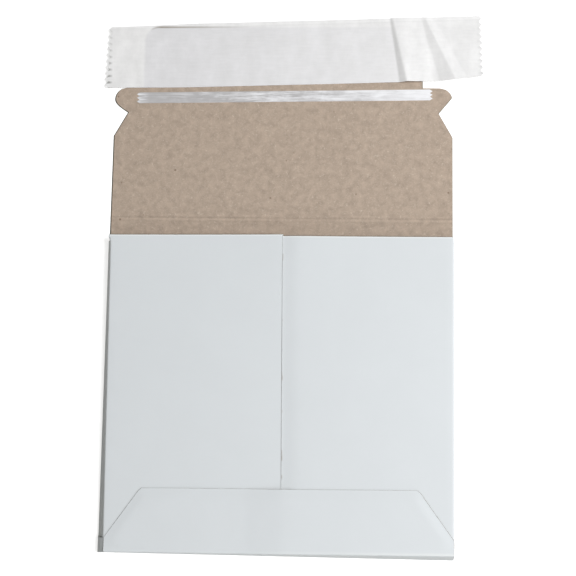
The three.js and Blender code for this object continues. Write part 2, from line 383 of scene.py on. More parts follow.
@dataclass(frozen=True)
class KraftFinish:
    """Uncoated recycled face: warm grey-brown with short fibres, flecks and a soft mottle."""

    colour: Quad = srgb(186, 168, 152)
    light_fibre: Quad = srgb(222, 208, 192)
    dark_fibre: Quad = srgb(140, 122, 105)
    fleck: Quad = srgb(112, 90, 72)
    cloud_scale: float = 60.0
    cloud: float = 0.1
    mottle_scale: float = 330.0
    mottle: float = 0.54
    grain_scale: float = 1100.0
    grain: float = 0.34
    # Lines along the crease as place, reach and change of tone: partly wear, partly painted highlight and
    # shade of the bead.
    crease_wear_and_shade_lines: tuple = ((72.75, 0.4, 0.15), (71.8, 0.25, -0.06), (73.55, 0.3, -0.12), (74.6, 0.35, 0.06))
    crease_unevenness_scale: float = 45.0
    front_end: Pair = (100.0 * MM, 110.0 * MM)
    fibre_scale: float = 520.0
    fibres: tuple = ((1.0, 0.31, 0.022, 0.6, light_fibre), (1.6, 2.13, 0.026, 0.45, light_fibre),
                     (0.9, 4.7, 0.018, 0.26, dark_fibre))
    fleck_scale: float = 150.0
    fleck_size: Pair = (0.05, 0.09)
    fleck_chance_scale: float = 90.0
    fleck_chance: Pair = (0.5, 0.56)
    fleck_share: float = 0.6
    roughness: float = 0.92
    specular: float = 0.2
    bump: float = 0.06 * MM

    def strands(self, canvas: Canvas, place: Field, scale: float, shift: float, width: float) -> Field:
        """Thin winding strands where a noise crosses its middle, broken up by a second noise.

        Args:
            canvas: The material's canvas.
            place: The flat coordinates.
            scale: The winding noise's scale.
            shift: Turns and moves it.
            width: The strands' width, as a share of the noise.

        Returns:
            A mask, 1 on a strand.
        """
        moved = canvas.stretched(place, (1.0, 1.0, 1.0), shift, (shift, shift * 0.7, shift * 0.3))
        winding = canvas.noise(moved, scale, 1.0, 0.5, 0.8)
        line = canvas.band(winding, 0.5, width, smooth=True)
        gaps = canvas.ramp(canvas.noise(moved, scale * 1.7, 2.0), 0.46, 0.6, 0.0, 1.0)
        return line * gaps

    def _crease_wear_and_shade(self, canvas: Canvas, place: Field) -> Field:
        """Pale and dark lines along the crease, broken up unevenly: partly the scoring rule's wear, partly
        painted highlight and shade of the scored bead.

        Args:
            canvas: The material's canvas.
            place: The flat coordinates.

        Returns:
            What is added to the tone.
        """
        across, along = canvas.split(place)
        scratched = canvas.noise(canvas.stretched(place, (1.0, 0.1, 1.0)), self.crease_unevenness_scale, 3.0)
        worn = canvas.ramp(scratched, 0.35, 0.6, 0.45, 1.0)
        total = 0.0
        for middle, reach, change in self.crease_wear_and_shade_lines:
            total = total + canvas.band(along, middle * MM, reach * 2 * MM, change, smooth=True)
        return total * worn * canvas.ramp(across, *self.front_end, 1.0, 0.0)

    def make(self) -> bpy.types.Material:
        """Builds the material on the board's own flat coordinates.

        Returns:
            The material.
        """
        material, canvas, shader = new_material("kraft_face")
        place = canvas.attribute("flat", "Vector")
        cloud = canvas.noise(place, self.cloud_scale, 3.0, 0.55)
        mottle = canvas.noise(place, self.mottle_scale, 2.0, 0.5, 0.4)
        grain = canvas.noise(canvas.stretched(place, (1.0, 2.2, 1.0), 0.35), self.grain_scale, 3.0, 0.7)
        tone = 1.0 + (mottle - 0.5) * self.mottle + (cloud - 0.5) * self.cloud + (grain - 0.5) * self.grain
        colour = canvas.shade(self.colour, tone + self._crease_wear_and_shade(canvas, place))
        strands = []
        for finer, shift, width, share, tint in self.fibres:
            strands.append(self.strands(canvas, place, self.fibre_scale * finer, shift, width))
            colour = canvas.mix(strands[-1] * share, colour, tint)
        cells = canvas.node("ShaderNodeTexVoronoi", {"feature": "F1"},
                            {"Vector": place, "Scale": self.fleck_scale}, out="Distance")
        chance = canvas.noise(place, self.fleck_chance_scale, 1.0)
        flecks = canvas.ramp(cells, *self.fleck_size, 1.0, 0.0) * canvas.ramp(chance, *self.fleck_chance)
        colour = canvas.mix(flecks * self.fleck_share, colour, self.fleck)
        pale = strands[0]
        dress(canvas, shader, colour, self.roughness - pale * 0.06, self.specular,
              (mottle * 0.5 + pale * 0.35 + grain * 0.4, self.bump, 0.7))
        return material


@dataclass(frozen=True)
class CutEdgeFinish:
    """The board's cut edge: grey-brown plies between a white skin and the kraft; its default colours are
    darker than the edge's own, painted shade for the line along the cut edges.
    """

    name: str = "cut_edge"
    # Both colours are darker than the edge's own colour: painted shade for the dark line along the cut edges,
    # at the mouth above all.
    colour: Quad = srgb(120, 112, 90)
    dark: Quad = srgb(78, 71, 53)
    ply_scale: Triple = (60.0, 60.0, 4200.0)
    torn_scale: float = 900.0
    roughness: float = 0.9
    specular: float = 0.2

    def make(self) -> bpy.types.Material:
        """Builds the material with thin ply lines through the thickness.

        Returns:
            The material.
        """
        material, canvas, shader = new_material(self.name)
        place = canvas.object_place()
        plies = canvas.noise(canvas.stretched(place, self.ply_scale), 1.0, 2.0, 0.6)
        torn = canvas.noise(place, self.torn_scale, 3.0, 0.7)
        share = canvas.ramp(plies * 0.6 + torn * 0.4, 0.38, 0.62)
        dress(canvas, shader, canvas.mix(share, self.dark, self.colour), self.roughness + (torn - 0.5) * 0.1,
              self.specular)
        return material


@dataclass(frozen=True)
class LinerFinish:
    """Thin coated release paper: white, a little glossy, greyer where the board shows through it, with a
    painted shadow of the tab's edge and painted shadows between its end teeth.
    """

    free: Quad = srgb(244, 243, 243)
    over_board: Quad = srgb(232, 231, 233)
    edge_shade: Quad = srgb(138, 124, 106)
    edge_line: float = 0.7 * MM
    edge_start: float = -56.0 * MM
    edge_end: float = -15.0 * MM
    edge_gone: float = -61.0 * MM
    edge_share: float = 0.85
    lift_off: float = 51.4 * MM
    lift_slant: float = 8.6
    fade: Pair = (-60.0 * MM, 55.0 * MM)
    centre: Pair = (4.6 * MM, 149.55 * MM)
    turn: float = 1.6
    half_width: float = 14.95 * MM
    half_length: float = 85.0 * MM
    margin: float = 1.9 * MM
    tooth_pitch: float = 3.0 * MM
    tooth_shadow: Quad = srgb(158, 158, 156)
    tooth_shadow_reach: Pair = (1.2 * MM, 2.8 * MM)
    tooth_shadow_top: float = 0.3
    tooth_shadow_right: float = 0.25
    comb: Quad = srgb(246, 246, 245)
    tab_half_width: float = 63.0 * MM
    tab_top: float = 161.5 * MM
    tab_corner: float = 6.4 * MM
    comb_place: Pair = (65.0 * MM, 146.3 * MM)
    comb_reach: Pair = (2.0 * MM, 7.5 * MM)
    comb_pitch: float = 2.5 * MM
    comb_share: float = 0.7
    blur: float = 0.6 * MM
    cloud_scale: float = 170.0
    cloud: float = 0.3
    weave_scale: float = 420.0
    weave: float = 0.1
    patchy: float = 0.9
    margin_line: float = 0.035
    margin_pale: float = 0.03
    roughness: float = 0.42
    specular: float = 0.45
    bump: float = 0.08 * MM

    def make(self) -> bpy.types.Material:
        """Builds the material on Object coordinates, which are the mailer's own.

        Returns:
            The material.
        """
        material, canvas, shader = new_material("release_paper")
        place = canvas.object_place()
        across, along = canvas.split(place)
        sideways = (abs(across) - (self.tab_half_width - self.tab_corner)).at_least(0.0)
        upward = (along - (self.tab_top - self.tab_corner)).at_least(0.0)
        away = (sideways * sideways + upward * upward) ** 0.5 - self.tab_corner
        inside = canvas.ramp(away, -self.blur, self.blur, 1.0, 0.0)
        cloud = canvas.noise(canvas.stretched(place, (1.0, 0.55, 1.0)), self.cloud_scale, 4.0, 0.62)
        weave = canvas.noise(canvas.stretched(place, (0.35, 2.4, 1.0)), self.weave_scale, 3.0, 0.6)
        slanted = across + (along - self.centre[1]) * tangent(self.lift_slant)
        covered = canvas.ramp(slanted, self.lift_off - 2 * self.blur, self.lift_off, 1.0, 0.0)
        shown = inside * covered * (canvas.ramp(across, *self.fade, 1.0, 0.5) + (cloud - 0.5) * self.patchy)
        colour = canvas.mix(shown, self.free, self.over_board)
        # Painted shadow of the tab's top edge, seen through the paper: a dark line along the tab's outline
        # that fades out to the right.
        fading = canvas.ramp(across, self.edge_start, self.edge_end, 1.0, 0.0)
        fading = fading * canvas.ramp(across, self.edge_gone, self.edge_start)
        at_edge = canvas.band(away, 0.0, self.edge_line, smooth=True)
        colour = canvas.mix(at_edge * fading * self.edge_share, colour, self.edge_shade)
        (middle, height), (wide, high) = self.comb_place, self.comb_reach
        near_across = canvas.ramp(abs(across - middle), wide * 0.6, wide, 1.0, 0.0)
        near_along = canvas.ramp(abs(along - height), high - self.blur, high, 1.0, 0.0)
        ticks = canvas.ramp(canvas.repeat(along, self.comb_pitch), 0.55, 0.8)
        colour = canvas.mix(ticks * near_across * near_along * self.comb_share, colour, self.comb)
        colour = self._ends(canvas, place, colour)
        colour = canvas.shade(colour, 1.0 + (cloud - 0.5) * self.cloud + (weave - 0.5) * self.weave)
        dress(canvas, shader, colour, self.roughness + (cloud - 0.5) * 0.2, self.specular,
              (cloud * 0.6 + weave * 0.4, self.bump, 0.5))
        return material

    def _ends(self, canvas: Canvas, place: Field, colour: Field) -> Field:
        """Adds the line along the paper's upper margin and the painted shadows between its end teeth.

        Args:
            canvas: The material's canvas.
            place: Object coordinates.
            colour: The colour so far.

        Returns:
            The colour with the line and the painted shadows.
        """
        local = canvas.node("ShaderNodeMapping", {"vector_type": "TEXTURE"},
                            {"Vector": place, "Location": (*self.centre, 0.0),
                             "Rotation": (0.0, 0.0, math.radians(self.turn))})
        lengthwise, sideways = canvas.split(local)
        edge = self.half_width - self.margin
        crease = canvas.band(sideways, edge, self.blur)
        pale = canvas.ramp(sideways, edge, edge + self.blur)
        colour = canvas.shade(colour, 1.0 - crease * self.margin_line + pale * self.margin_pale)
        # Painted shadow between the teeth at both ends, darker low down and at the left end.
        notch = canvas.ramp(canvas.repeat(sideways + self.half_width, self.tooth_pitch), 0.5, 0.15)
        near = canvas.ramp(self.half_length - abs(lengthwise), *self.tooth_shadow_reach, 1.0, 0.0)
        low = canvas.ramp(sideways, -self.half_width, self.half_width, 1.0, self.tooth_shadow_top)
        leftward = canvas.ramp(lengthwise, -self.half_length, self.half_length, 1.0, self.tooth_shadow_right)
        return canvas.mix(notch * near * low * leftward, colour, self.tooth_shadow)


@dataclass(frozen=True)
class AdhesiveFinish:
    """The bare adhesive: clear and glossy, with streaks along its length, a painted reflection that brightens
    it towards the right and a painted glint at its left end.
    """

    dull: Quad = srgb(188, 186, 187)
    end_painted_glint: Pair = (-65.0 * MM, -60.0 * MM)
    reflection_colour: Quad = srgb(250, 250, 253)
    reflection_middle: float = -10.0 * MM
    reflection_reach: float = 75.0 * MM
    streak_scale: float = 900.0
    blob_scale: float = 190.0
    roughness: float = 0.2
    specular: float = 0.6
    bump: float = 0.15 * MM

    def make(self) -> bpy.types.Material:
        """Builds the material on Object coordinates.

        Returns:
            The material.
        """
        material, canvas, shader = new_material("adhesive")
        place = canvas.object_place()
        across, _ = canvas.split(place)
        drawn = canvas.stretched(place, (0.09, 1.0, 1.0), 0.02)
        streaks = canvas.noise(drawn, self.streak_scale, 3.0, 0.6, 0.6)
        blobs = canvas.noise(place, self.blob_scale, 3.0, 0.6)
        # Painted reflection of the lamp on the right: the adhesive turns from its dull colour to a bright one
        # from left to right, its streaks livelier in the middle.
        low, high = self.reflection_middle - self.reflection_reach, self.reflection_middle + self.reflection_reach
        share = canvas.ramp(across, low, high)
        middle = canvas.ramp(share, 0.14, 0.42, 0.08, 1.0) * canvas.ramp(share, 0.6, 0.95, 1.0, 0.25)
        lively = (streaks - 0.5) * (0.3 + middle * 2.8) + (blobs - 0.5) * (0.1 + middle * 1.2)
        # Painted glint at the strip's left end.
        painted_glint = canvas.ramp(across, *self.end_painted_glint, 1.0, 0.0) * canvas.ramp(streaks, 0.42, 0.56)
        painted_reflection = canvas.ramp(share ** 1.8 * 0.95 + lively, 0.0, 1.0).at_least(painted_glint)
        dress(canvas, shader, canvas.mix(painted_reflection, self.dull, self.reflection_colour), self.roughness + streaks * 0.22,
              self.specular, (streaks * 0.7 + blobs * 0.5, self.bump, 0.5))
        return material


@dataclass
class BoardSheet:
    """A stretch of board as a grid of points on its coated face, with the direction out of that face."""

    name: str
    points: np.ndarray
    out: np.ndarray
    flat: np.ndarray
    thickness: Union[float, np.ndarray]
    bevel: Quad = (0.0, 0.0, 0.0, 0.0)
    bevel_kraft: bool = False
    # Share of painted highlight for each point, which the coated finish reads.
    painted_highlight: np.ndarray | None = None
    sharp_angle: float = 38.0

    def build(self, finishes: dict[Face, bpy.types.Material]) -> bpy.types.Object:
        """Makes the closed board with a coated face, a kraft face and cut edges.

        Args:
            finishes: The material for each side of the board.

        Returns:
            The object, at the origin.
        """
        rows, columns = self.points.shape[:2]
        inner = self.points - self.out * self.thickness
        outer = self.points.copy()
        self._slant_edges(inner if self.bevel_kraft else outer)
        vertices = np.concatenate([outer.reshape(-1, 3), inner.reshape(-1, 3)])
        index = np.arange(rows * columns).reshape(rows, columns)
        under = index + rows * columns
        coated = self._quads(index[:-1, :-1], index[:-1, 1:], index[1:, 1:], index[1:, :-1])
        kraft = self._quads(under[:-1, :-1], under[1:, :-1], under[1:, 1:], under[:-1, 1:])
        cut = np.concatenate([
            self._quads(index[:-1, 0], index[1:, 0], under[1:, 0], under[:-1, 0]),
            self._quads(index[:-1, -1], under[:-1, -1], under[1:, -1], index[1:, -1]),
            self._quads(index[0, :-1], under[0, :-1], under[0, 1:], index[0, 1:]),
            self._quads(index[-1, :-1], index[-1, 1:], under[-1, 1:], under[-1, :-1]),
        ])
        faces = np.concatenate([coated, kraft, cut])
        if self._volume(vertices, faces) < 0:
            faces = faces[:, ::-1]
        mesh = bpy.data.meshes.new(self.name)
        mesh.from_pydata(vertices.tolist(), [], faces.tolist())
        for side in Face:
            mesh.materials.append(finishes[side])
        counts = [len(coated), len(kraft), len(cut)]
        mesh.polygons.foreach_set("material_index", np.repeat([side.value for side in Face], counts))
        flat = mesh.attributes.new("flat", "FLOAT_VECTOR", "POINT")
        flat.data.foreach_set("vector", np.concatenate([self.flat.reshape(-1, 3)] * 2).ravel())
        # The painted highlight goes onto the mesh as a point attribute.
        if self.painted_highlight is not None:
            painted_highlight = mesh.attributes.new("painted_highlight", "FLOAT", "POINT")
            painted_highlight.data.foreach_set("value", np.concatenate([self.painted_highlight.ravel()] * 2))
        mesh.shade_smooth()
        mesh.set_sharp_from_angle(angle=math.radians(self.sharp_angle))
        mesh.update()
        return linked(self.name, mesh)

    def _slant_edges(self, face: np.ndarray) -> None:
        """Draws a face's border in, so that the cut edge slants: first and last row, then column.

        Args:
            face: The face's points, which are moved.
        """
        edges = ((face[0], face[1]), (face[-1], face[-2]),
                 (face[:, 0], face[:, 1]), (face[:, -1], face[:, -2]))
        for (border, beside), reach in zip(edges, self.bevel):
            step = beside - border
            length = np.maximum(np.linalg.norm(step, axis=-1, keepdims=True), 1e-9)
            border += step / length * np.minimum(reach * MM, length * 0.6)

    @staticmethod
    def _quads(*corners: np.ndarray) -> np.ndarray:
        """Stacks four corner grids into a list of faces."""
        return np.stack([corner.ravel() for corner in corners], axis=1)

    @staticmethod
    def _volume(vertices: np.ndarray, faces: np.ndarray) -> float:
        """Volume inside the faces, negative where they point inward.

        Args:
            vertices: The points.
            faces: Four corners for each face.

        Returns:
            Six times the volume.
        """
        first, second, third, fourth = (vertices[faces[:, i]] for i in range(4))
        one = np.einsum("ij,ij->i", first, np.cross(second, third)).sum()
        other = np.einsum("ij,ij->i", first, np.cross(third, fourth)).sum()
        return float(one + other)


@dataclass
class Board:
    """Sizes that every stretch of the folded board shares, in millimetres and degrees."""

    thickness: float = 0.6
    fold_radius: float = 0.3
    width: float = 152.4
    depth: float = 146.5
    pocket_height: float = 5.8
    left_foot_reach: float = 0.5
    left_edge_inset: float = 1.55
    left_edge_turn: float = 0.8
    right_edge_inset: float = -0.1
    right_edge_turn: float = 0.1
    seam_offset: float = 1.4
    seam_turn: float = 0.69
    lap_width: float = 12.5
    left_mouth_drop: float = 8.35
    left_mouth_turn: float = 0.57
    right_mouth_drop: float = 8.3
    right_mouth_turn: float = 0.2
    fold_mouth_stop: float = 2.4
    fold_bottom_stop: float = 7.3
    bottom_inset: float = 1.85
    bottom_turn: float = 0.63
    bottom_left: float = 72.6
    bottom_right: float = 76.05
    bottom_edge: float = 0.22
    left_corner_flare: float = 0.25
    finishes: dict[Face, bpy.types.Material] = field(default_factory=dict)

    @property
    def crease(self) -> float:
        """Where the closing flap's crease lies along Y."""
        return self.depth / 2

    @property
    def bend_radius(self) -> float:
        """Radius of a fold on the coated side."""
        return self.fold_radius + self.thickness

    @property
    def seam_top(self) -> float:
        """Height of the right panel where it laps over the left."""
        return self.pocket_height + self.thickness

    def mouth(self, side: Side, across: np.ndarray | float) -> np.ndarray | float:
        """The mouth edge of one back panel at a place across the pocket.

        Args:
            side: Which panel.
            across: The place along X.

        Returns:
            The place of the edge along Y.
        """
        if side is Side.LEFT:
            start = self.crease - self.left_mouth_drop
            return start + (across + self.width / 2 - self.left_edge_inset) * tangent(self.left_mouth_turn)
        start = self.crease - self.right_mouth_drop
        return start + (across - self.seam_offset) * tangent(self.right_mouth_turn)

    def side_edge(self, side: Side, along: np.ndarray | float) -> np.ndarray | float:
        """The outer top edge of one back panel at a place along the pocket.

        Args:
            side: Which panel.
            along: The place along Y.

        Returns:
            The place of the edge along X.
        """
        if side is Side.LEFT:
            from_mouth = self.crease - self.left_mouth_drop - along
            return -self.width / 2 + self.left_edge_inset + from_mouth * tangent(self.left_edge_turn)
        from_mouth = self.crease - self.right_mouth_drop - along
        return self.width / 2 - self.right_edge_inset - from_mouth * tangent(self.right_edge_turn)

    def seam(self, along: np.ndarray | float) -> np.ndarray | float:
        """The right panel's edge over the lap at a place along the pocket."""
        return self.seam_offset + (self.crease - self.right_mouth_drop - along) * tangent(self.seam_turn)

    def bottom_foot(self, across: np.ndarray | float) -> np.ndarray | float:
        """Where the bottom wall's face would meet the table, with its rounded foot at the edge."""
        lean = self._bottom_lean(across)
        return -self.depth / 2 + self.bottom_edge - self.bend_radius * (np.tan(math.pi / 4 + lean / 2) - 1)

    def bottom_wall(self, across: np.ndarray, heights: np.ndarray) -> np.ndarray:
        """The bottom wall's outer face along Y, at places across the pocket and their heights."""
        fold = self.depth / 2 - self.bottom_inset - across * tangent(self.bottom_turn)
        return -self.leaning_face(-self.bottom_foot(across), fold, self.seam_top, heights)

    def leaning_face(self, foot: np.ndarray | float, edge: np.ndarray | float, top: float,
                     heights: np.ndarray) -> np.ndarray:
        """Outer face of a wall that leans in, with its foot rounded into the front panel.

        Args:
            foot: Distance from the middle at which the face would meet the table.
            edge: Distance from the middle at its top.
            top: Height of its top.
            heights: The heights that are wanted.

        Returns:
            The face's distance from the middle at each height.
        """
        lean = np.arctan2(foot - edge, top)
        radius = self.bend_radius
        drop = np.clip(radius - heights, -radius, radius)
        rounded = foot - radius * np.tan(math.pi / 4 + lean / 2) + np.sqrt(radius ** 2 - drop ** 2)
        return np.where(heights < radius * (1 + np.sin(lean)), rounded, foot + (edge - foot) * heights / top)

    def _bottom_lean(self, across: np.ndarray | float) -> np.ndarray | float:
        """How far the bottom wall leans in at a place across the pocket, in radians."""
        return np.arctan2(self.bottom_inset + across * tangent(self.bottom_turn), self.seam_top)

    def folded_path(self, corners: Sequence[Pair], side: int,
                    runs: Sequence[np.ndarray]) -> tuple[np.ndarray, np.ndarray]:
        """Points along a folded section, with a round fold at each inner corner.

        Args:
            corners: The section's corners on its coated face.
            side: 1 or -1, the side of the path that the coated face looks to.
            runs: The shares of each straight run at which it has points.

        Returns:
            The points and the outward directions, both as rows of two numbers.
        """
        nodes = [np.array(corner, float) for corner in corners]
        outs = []
        for start, end in zip(nodes, nodes[1:]):
            along = (end - start) / np.linalg.norm(end - start)
            outs.append(np.array([side * along[1], -side * along[0]]))
        places, directions = [nodes[0]], [outs[0]]
        for i in range(1, len(nodes) - 1):
            before, after = outs[i - 1], outs[i]
            middle = before + after
            middle /= np.linalg.norm(middle)
            centre = nodes[i] - middle * self.bend_radius / middle.dot(before)
            turn = math.atan2(before[0] * after[1] - before[1] * after[0], before.dot(after))
            self._run(places, directions, centre + before * self.bend_radius, before, runs[i - 1])
            for step in range(1, FOLD_STEPS + 1):
                angle = turn * step / FOLD_STEPS
                cosine, sine = math.cos(angle), math.sin(angle)
                out = np.array([before[0] * cosine - before[1] * sine, before[0] * sine + before[1] * cosine])
                places.append(centre + out * self.bend_radius)
                directions.append(out)
        self._run(places, directions, nodes[-1], outs[-1], runs[-1])
        return np.array(places), np.array(directions)

    @staticmethod
    def _run(places: list, directions: list, end: np.ndarray, out: np.ndarray, shares: np.ndarray) -> None:
        """Carries the path straight on to its end, with a point at each share of the way.

        Args:
            places: The points so far, which grow.
            directions: The outward directions so far.
            end: Where the run ends.
            out: Its outward direction.
            shares: The shares of the way that get a point.
        """
        start = places[-1]
        for share in shares:
            places.append(start + (end - start) * share)
            directions.append(out)


def tangent(degrees: float) -> float:
    """Tangent of an angle in degrees."""
    return math.tan(math.radians(degrees))


def even(cells: int) -> np.ndarray:
    """Shares of a run that is cut into equal cells, without its start."""
    return np.arange(1, cells + 1) / cells


def smooth_step(value: np.ndarray, low: float, high: float) -> np.ndarray:
    """A smooth rise from 0 at low to 1 at high."""
    share = np.clip((value - low) / (high - low), 0, 1)
    return share * share * (3 - 2 * share)


@dataclass
class BackPanel:
    """One side of the wrap: its fold up from the front panel and its half of the back."""

    board: Board
    side: Side
    rows: int = 64
    corner_rows: int = 10
    panel_cells: int = 34
    lap_cells: int = 8
    wall_cells: int = 6
    lap_mouth_stop: float = 1.0
    seam_cell: float = 1.6
    lap_split: float = 0.1
    lap_gap: float = 0.02
    foot_run: float = 2.2
    pressed_edge: float = 7.0
    pressed_share: float = 0.72
    pressed_more: float = 0.2
    pressed_mouth: Pair = (50.0, 60.0)
    lap_lift: float = 0.04
    lap_waves: Pair = (9.5, 23.0)
    lap_rise_reach: float = 6.0
    sag: float = 0.35
    sag_reach: Pair = (10.0, 64.0)
    corner_bulge: float = 0.6
    corner_crevice: float = 0.3
    corner_reach: float = 0.04
    corner_tuck: float = 0.35
    panel_tuck: float = 0.9
    corner_fade: Pair = (0.1, 0.4)
    corner_span: Pair = (0.2, 0.5)
    crevice_place: float = 0.2
    crevice_reach: float = 0.12
    near_fold: tuple[float, ...] = (0.32, 0.2, 0.08)
    near_mouth: tuple[float, ...] = (0.985, 0.992, 0.9965, 1.0)
    mouth_room: float = 6.0
    mouth_flare: float = 0.9
    flare_reach: Pair = (0.1, 0.9)
    flare_cells: int = 4
    mouth_bevel: float = 0.75
    seam_bevel: float = 0.06
    mouth_highlight: float = 0.75

    def build(self) -> bpy.types.Object:
        """Makes the panel with its side fold.

        Returns:
            The object, at the origin.
        """
        board = self.board
        side = self.side.value
        low = -board.depth / 2 + board.fold_bottom_stop
        upper = np.linspace(low, board.crease - self.mouth_room, self.rows + 1)
        stations = np.concatenate([self._corner_stations(low), upper])
        sections = [self._section(along, low) for along in stations]
        paths = np.array([section[0] for section in sections])
        outs = np.array([section[1] for section in sections])
        across = paths[-1][:, 0]
        columns = paths.shape[1]
        straight = self.panel_cells + self.lap_cells
        length = np.concatenate([[0], np.cumsum(np.linalg.norm(np.diff(paths[-1], axis=0), axis=1))])
        top = self._tops(across, np.arange(columns) > straight + FOLD_STEPS // 2, straight)
        share = np.concatenate([np.linspace(0, self.near_mouth[0], self.rows - 2), self.near_mouth[1:]])
        along = low + (top[None, :] - low) * share[:, None]
        along = np.concatenate([self._corner_rows(low, paths[0]), along])
        points = np.stack([paths[..., 0], along, paths[..., 1]], axis=2)
        out = np.stack([outs[..., 0], np.zeros_like(along), outs[..., 1]], axis=2)
        points[..., 2] += self._warp(points[..., 0], points[..., 1]) * out[..., 2].clip(0, 1)
        pressed = self._pressed(points)
        points[..., 2] -= pressed
        points[..., 0] += self._corner_reach(along, columns, straight)
        # Painted highlight along the mouth edge: the last two rows turn the coated face paler.
        painted_highlight = np.zeros(along.shape)
        painted_highlight[-2:, : straight + 1] = self.mouth_highlight
        flat = np.stack([np.broadcast_to(length, along.shape) * side + side * FLAT_GAP, along,
                         np.zeros_like(along)], axis=2)
        name = "back_panel_left" if self.side is Side.LEFT else "back_panel_right"
        thickness = (board.thickness - pressed)[..., None]
        sheet = BoardSheet(name, points * MM, out, flat * MM, thickness * MM,
                           bevel=(0.0, self.mouth_bevel, self.seam_bevel, 0.0), painted_highlight=painted_highlight)
        return sheet.build(board.finishes)

    def _corner_reach(self, along: np.ndarray, columns: int, straight: int) -> np.ndarray:
        """How far the left panel's free corner reaches out over its side fold at the mouth.

        Args:
            along: Each point's place along Y.
            columns: The number of columns.
            straight: The column at the panel's outer edge.

        Returns:
            What is added to each X.
        """
        if self.side is Side.RIGHT:
            return np.zeros(along.shape)
        column = np.arange(columns)[None, :]
        free = np.clip(1 - (straight - column) / self.flare_cells, 0, 1)
        free = free * (column <= straight + FOLD_STEPS // 2)
        stop = self.board.crease - self.board.left_mouth_drop - self.board.fold_mouth_stop
        start, end = self.flare_reach
        return -self.mouth_flare * free * smooth_step(along, stop + start, stop + end)

    def _corner_stations(self, low: float) -> np.ndarray:
        """Places along the pocket of the rows below the side fold's end."""
        start, end = -self.board.depth / 2 + self.corner_span[0], low - self.corner_span[1]
        return np.concatenate([np.linspace(start, end, self.corner_rows), low - np.array(self.near_fold)])

    def _corner_rows(self, low: float, section: np.ndarray) -> np.ndarray:
        """The same rows by column: panels stop inside the bottom wall, the left wall covers its end.

        Args:
            low: Where the side fold ends along Y.
            section: The lowest section, as rows of X and Z.

        Returns:
            The place along Y by row and column.
        """
        straight = self.panel_cells + self.lap_cells
        on_wall = -self.corner_reach if self.side is Side.LEFT else self.corner_tuck
        tuck = np.interp(np.arange(len(section)), [straight, straight + 2], [self.panel_tuck, on_wall])
        start = self.board.bottom_wall(section[:, 0], section[:, 1]) + tuck
        shares = np.linspace(0, 1, self.corner_rows)[:, None]
        near_fold = low - np.repeat(np.array(self.near_fold)[:, None], len(section), axis=1)
        return np.concatenate([start + (low - self.corner_span[1] - start) * shares, near_fold])

    def _section(self, along: float, low: float) -> tuple[np.ndarray, np.ndarray]:
        """The folded section at one place along the pocket: panel, side wall and foot.

        Args:
            along: The place along Y.
            low: Where the side fold ends along Y.

        Returns:
            The points and the outward directions, both as rows of X and Z.
        """
        board = self.board
        side = self.side.value
        in_corner = float(smooth_step(np.array(low - along), *self.corner_fade))
        flared = in_corner if self.side is Side.LEFT else 0.0
        foot = board.width / 2 + board.left_corner_flare * flared
        foot += board.left_foot_reach if self.side is Side.LEFT else 0.0
        end = self._inner_end(along)
        edge = board.side_edge(self.side, along)
        corners = [(end, self._inner_top()), (edge, board.pocket_height), (side * foot, 0.0),
                   (side * (foot - board.bend_radius * self.foot_run), 0.0)]
        first = board.lap_width - self.lap_split if self.side is Side.LEFT else self.seam_cell
        split = first / abs(edge - end)
        panel = np.concatenate([even(self.lap_cells) * split, split + (1 - split) * even(self.panel_cells)])
        path, out = board.folded_path(corners, -side, [panel, even(self.wall_cells), even(1)])
        path, out = path[:-1], out[:-1]
        wall = np.arange(len(path)) - self.lap_cells - self.panel_cells - FOLD_STEPS
        away = (low - along - self.crevice_place) / self.crevice_reach
        crevice = self.corner_crevice * math.exp(-away ** 2) * (self.side is Side.LEFT)
        swell = np.sin(np.clip(wall / self.wall_cells, 0, 1) * math.pi)
        swell = swell * (self.corner_bulge * flared - crevice)
        return path + out * swell[:, None], out

    def _tops(self, across: np.ndarray, on_wall: np.ndarray, straight: int) -> np.ndarray:
        """Where each column ends at the mouth; under the lap it stays behind the right panel's edge.

        Args:
            across: Each column's place along X.
            on_wall: True for a column on the wall.
            straight: The column at the panel's outer edge.

        Returns:
            The place along Y by column.
        """
        board = self.board
        top = board.mouth(self.side, across)
        if self.side is Side.LEFT:
            hidden = board.mouth(Side.RIGHT, across) - self.lap_mouth_stop
            top = np.where(np.arange(len(across)) < self.lap_cells, hidden, top)
        return np.where(on_wall, top[straight] - board.fold_mouth_stop, top)

    def _inner_end(self, along: float) -> float:
        """Where the panel ends at the seam, under the lap on the left."""
        seam = self.board.seam(along)
        return seam + self.board.lap_width if self.side is Side.LEFT else seam

    def _inner_top(self) -> float:
        """Height of the panel at its end; the right one lies over the left."""
        lift = 0.0 if self.side is Side.LEFT else self.board.thickness + self.lap_gap
        return self.board.pocket_height + lift

    def _pressed(self, points: np.ndarray) -> np.ndarray:
        """How much thinner the right panel is pressed along its edge over the lap.

        Args:
            points: The coated face by row and column.

        Returns:
            The loss of thickness by row and column.
        """
        if self.side is Side.LEFT:
            return np.zeros(points.shape[:2])
        away = points[..., 0] - self.board.seam(points[..., 1])
        share = self.pressed_share + self.pressed_more * smooth_step(points[..., 1], *self.pressed_mouth)
        return self.board.thickness * share * (1 - smooth_step(away, 0.0, self.pressed_edge))

    def _warp(self, across: np.ndarray, along: np.ndarray) -> np.ndarray:
        """The slight sag of the panel between its fold and the seam, and the lift of the lap's edge.

        Args:
            across: Each point's place along X.
            along: Each point's place along Y.

        Returns:
            What is added to each height.
        """
        half = self.board.width / 2
        middle = np.clip(1 - (np.abs(across) / half - 0.5) ** 2 * 4, 0, 1)
        mouth = smooth_step(along, *self.sag_reach)
        sag = -self.sag * middle * mouth * (across * self.side.value > 0)
        if self.side is Side.LEFT:
            return sag * (across < self.board.seam_offset)
        short, long = self.lap_waves
        wave = 0.5 + 0.5 * np.sin(along / short) * np.sin(along / long + 1)
        near_seam = np.clip(1 - (across - self.board.seam_offset - 1) / self.lap_rise_reach, 0, 1)
        return sag + self.lap_lift * wave * near_seam


